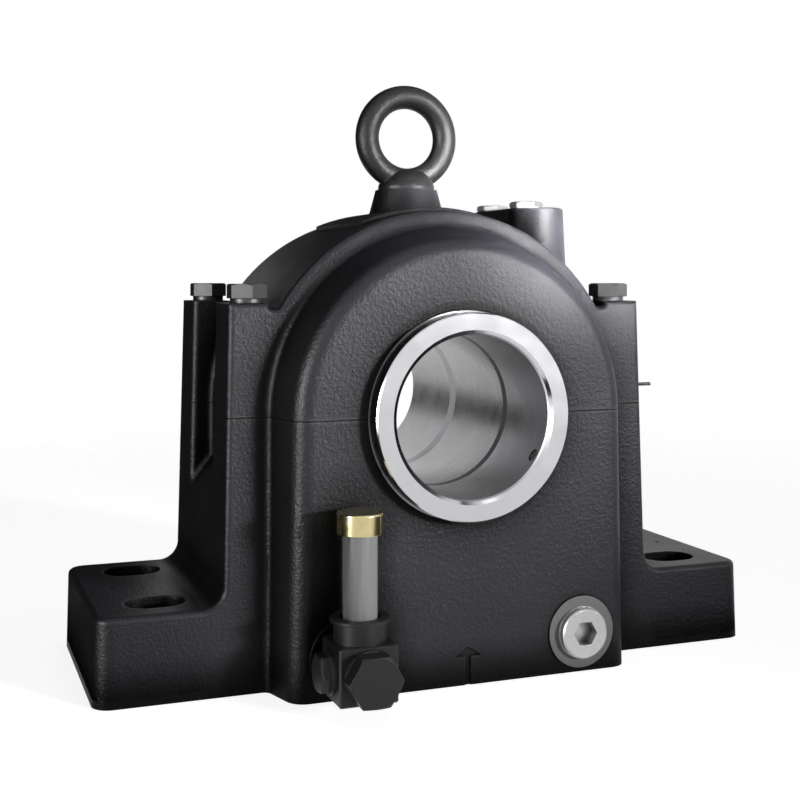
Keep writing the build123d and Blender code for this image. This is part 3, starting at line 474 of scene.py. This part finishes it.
# dark flags that only reflections see
flagSettings = {
    "backFlag": {"place": (-0.15, 0.22, 0.5), "aim": (-0.15, -1, 0.5), "size": (0.9, 0.46)},
    "boreFlag": {"place": (-0.42, 0.95, 0.16), "aim": (0, 0, 0.16), "size": (0.36, 0.3)},
    "leftFlag": {"place": (-1.65, 0.65, 1.2), "aim": (0, 0.65, 1.2), "size": (2.1, 2.4)},
    "overheadFlag": {"place": (0, 0.6, 2.4), "aim": (0, 0.6, 0), "size": (3.3, 2.2)},
    "nearFlag": {"place": (-0.52, 0.15, 0.23), "aim": (-0.52, -1, 0.23), "size": (0.8, 0.45)},
    "floorFlagLeft": {"place": (-0.865, -0.06, 0.004), "aim": (-0.865, -0.06, 1), "size": (1.47, 0.42)},
    "floorFlagRight": {"place": (0.4, -0.22, 0.004), "aim": (0.4, -0.22, 1), "size": (0.54, 0.34)},
}
flagCloth, flagTree = newFinish("flagCloth")
dress(flagTree, {"Base Color": (0.01, 0.01, 0.01), "Roughness": 1, "Specular IOR Level": 0})
for name, settings in flagSettings.items():
    flagMesh = flatMesh(name, *settings["size"])
    flagMesh.materials.append(flagCloth)
    flag = bpy.data.objects.new(name, flagMesh)
    placeFlat(flag, settings)
    flag.visible_camera = False
    flag.visible_diffuse = False
    flag.visible_shadow = False
    flag.visible_transmission = False

# daylight that shows white to the rays above, and lights the block only faintly
daylightSettings = {"colour": (1, 1, 1), "seen": 1.0, "unseen": 0.05}
world = bpy.data.worlds.new("studioWorld")
bpy.context.scene.world = world
world.use_nodes = True
background = world.node_tree.nodes["Background"]
strength = spread(world.node_tree, seenRays(world.node_tree),
                  daylightSettings["unseen"], daylightSettings["seen"], 0, 1)
feed(world.node_tree, daylightSettings["colour"], background.inputs["Color"])
feed(world.node_tree, strength, background.inputs["Strength"])

# lamps, with beams in degrees
lampSettings = {
    "keyLamp": {
        "place": (1.1, -1.8, 0.48), "aim": (-0.04, -0.1, 0.32), "size": (0.3, 0.16),
        "power": 1.35, "beam": 22, "shineOnly": False,
    },
    "leftStrip": {
        "place": (-1.5, -0.62, 0.3), "aim": (0, 0, 0.16), "size": (0.22, 0.8),
        "power": 17, "beam": 120, "shineOnly": True,
    },
    "towerLamp": {
        "place": (0.4, -1.32, 0.5), "aim": (0.072, -0.03, 0.25), "size": (0.1, 0.1),
        "power": 0.3, "beam": 4, "shineOnly": False,
    },
    "topLamp": {
        "place": (0.2, -0.1, 1.6), "aim": (0, 0, 0.1), "size": (0.8, 0.8),
        "power": 0.9, "beam": 140, "shineOnly": False,
    },
}
for name, settings in lampSettings.items():
    lampData = bpy.data.lights.new(name, "AREA")
    lampData.shape = "RECTANGLE"
    lampData.size, lampData.size_y = settings["size"]
    lampData.energy = settings["power"]
    lampData.spread = math.radians(settings["beam"])
    lamp = bpy.data.objects.new(name, lampData)
    lamp.visible_diffuse = not settings["shineOnly"]  # such a lamp lights no matt surface
    placeFlat(lamp, settings)
print("floor, daylight, lamps and flags placed")

# hexagon heads: one tree makes the cap's four bolts and the tower's two plugs
hexagonSides = 6
coneSides = 96
faceSides = 64
shankSides = 48
smoothBelow = math.radians(20)


def headTree():
    tree = bpy.data.node_groups.new("hexagonHeads", "GeometryNodeTree")
    lengths = ("acrossFlats", "headHeight", "coneReach", "faceRadius", "faceHeight",
               "shankRadius", "shankLength", "spacingX", "spacingY")
    for name in lengths:
        tree.interface.new_socket(name, in_out="INPUT", socket_type="NodeSocketFloat")
    tree.interface.new_socket("metal", in_out="INPUT", socket_type="NodeSocketMaterial")
    tree.interface.new_socket("heads", in_out="OUTPUT", socket_type="NodeSocketGeometry")
    given = tree.nodes.new("NodeGroupInput").outputs

    def scaled(source, factor, offset=0.0):
        return calculate(tree, "MULTIPLY_ADD", source, factor, offset)

    def raised(mesh, height, turn=0.0):
        move = addNode(tree, "GeometryNodeTransform", Rotation=(0, 0, turn))
        tree.links.new(mesh, move.inputs["Geometry"])
        tree.links.new(joinPlace(tree, 0, 0, height), move.inputs["Translation"])
        return move.outputs["Geometry"]

    def drum(sides, radius, depth):
        node = addNode(tree, "GeometryNodeMeshCylinder", Vertices=sides)
        tree.links.new(radius, node.inputs["Radius"])
        tree.links.new(depth, node.inputs["Depth"])
        return node.outputs["Mesh"]

    # the head is a tall hexagon kept inside a flat cone, which takes off its upper corners
    halfSide = math.pi / hexagonSides
    acrossFlats = given["acrossFlats"]
    headHeight = given["headHeight"]
    doubleHeight = scaled(headHeight, 2)
    prism = drum(hexagonSides, scaled(acrossFlats, 0.5 / math.cos(halfSide)), doubleHeight)
    cone = addNode(tree, "GeometryNodeMeshCone", Vertices=coneSides)
    halfFlats = scaled(acrossFlats, 0.5)
    tree.links.new(halfFlats, cone.inputs["Radius Top"])
    tree.links.new(scaled(given["coneReach"], 2, halfFlats), cone.inputs["Radius Bottom"])
    tree.links.new(doubleHeight, cone.inputs["Depth"])
    head = addNode(tree, "GeometryNodeMeshBoolean", {"operation": "INTERSECT", "solver": "EXACT"})
    tree.links.new(raised(prism, headHeight, halfSide), head.inputs["Mesh"])
    tree.links.new(raised(cone.outputs["Mesh"], scaled(headHeight, -1)), head.inputs["Mesh"])

    # under it are a round washer face and the shank
    face = drum(faceSides, given["faceRadius"], given["faceHeight"])
    shank = drum(shankSides, given["shankRadius"], given["shankLength"])
    shankMiddle = scaled(given["shankLength"], -0.5, scaled(given["faceHeight"], -1))
    whole = addNode(tree, "GeometryNodeJoinGeometry")
    tree.links.new(head.outputs["Mesh"], whole.inputs["Geometry"])
    tree.links.new(raised(face, scaled(given["faceHeight"], -0.5)), whole.inputs["Geometry"])
    tree.links.new(raised(shank, shankMiddle), whole.inputs["Geometry"])

    # one head at each corner of the pattern, whose corners merge where a spacing is nothing
    pattern = addNode(tree, "GeometryNodeMeshGrid", **{"Vertices X": 2, "Vertices Y": 2})
    tree.links.new(given["spacingX"], pattern.inputs["Size X"])
    tree.links.new(given["spacingY"], pattern.inputs["Size Y"])
    corners = addNode(tree, "GeometryNodeMergeByDistance", Distance=0.1 * mm)
    tree.links.new(pattern.outputs["Mesh"], corners.inputs["Geometry"])
    placed = addNode(tree, "GeometryNodeInstanceOnPoints")
    tree.links.new(corners.outputs["Geometry"], placed.inputs["Points"])
    tree.links.new(whole.outputs["Geometry"], placed.inputs["Instance"])
    real = addNode(tree, "GeometryNodeRealizeInstances")
    tree.links.new(placed.outputs["Instances"], real.inputs["Geometry"])
    metal = addNode(tree, "GeometryNodeSetMaterial")
    tree.links.new(real.outputs["Geometry"], metal.inputs["Geometry"])
    tree.links.new(given["metal"], metal.inputs["Material"])
    tree.links.new(metal.outputs["Geometry"], tree.nodes.new("NodeGroupOutput").inputs["heads"])
    return tree


headSettings = {
    "capBolts": {
        "replaces": "cap_bolts", "slot": "bolt_steel", "middle": (0, 0, 201 * mm),
        "sizes": {
            "acrossFlats": 19 * mm, "headHeight": 7.6 * mm, "coneReach": 13.16 * mm,
            "faceRadius": 8.8 * mm, "faceHeight": 2.5 * mm,
            "shankRadius": 6 * mm, "shankLength": 88.5 * mm,
            "spacingX": 214.6 * mm, "spacingY": 94.4 * mm,
        },
    },
    "fillerPlugs": {
        "replaces": "filler_plugs", "slot": "plug_alloy", "middle": (66.7 * mm, 0, 253.2 * mm),
        "sizes": {
            "acrossFlats": 17 * mm, "headHeight": 3 * mm, "coneReach": 5.196 * mm,
            "faceRadius": 7 * mm, "faceHeight": 0.8 * mm,
            "shankRadius": 7 * mm, "shankLength": 14 * mm,
            "spacingX": 0.0, "spacingY": 46 * mm,
        },
    },
}
hexagonHeads = headTree()
for name, settings in headSettings.items():
    maker = bpy.data.objects.new(name + "Maker", bpy.data.meshes.new(name + "Maker"))
    bpy.context.scene.collection.objects.link(maker)
    modifier = maker.modifiers.new("heads", "NODES")
    modifier.node_group = hexagonHeads
    given = dict(settings["sizes"], metal=finishes[settings["slot"]])
    for socket in hexagonHeads.interface.items_tree:
        if socket.in_out == "INPUT":
            modifier[socket.identifier] = given[socket.name]
    bpy.context.view_layer.update()
    made = maker.evaluated_get(bpy.context.evaluated_depsgraph_get())
    mesh = bpy.data.meshes.new_from_object(made)
    maker.modifiers.remove(modifier)
    bpy.data.objects.remove(maker)
    mesh.transform(Matrix.Translation(settings["middle"]))
    for polygon in mesh.polygons:
        polygon.use_smooth = True
    mesh.set_sharp_from_angle(angle=smoothBelow)
    piece = bpy.data.objects.new(name, mesh)
    bpy.context.scene.collection.objects.link(piece)
    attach(piece, "housing")
    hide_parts(settings["replaces"])
    print(name, "made:", len(mesh.polygons), "faces")
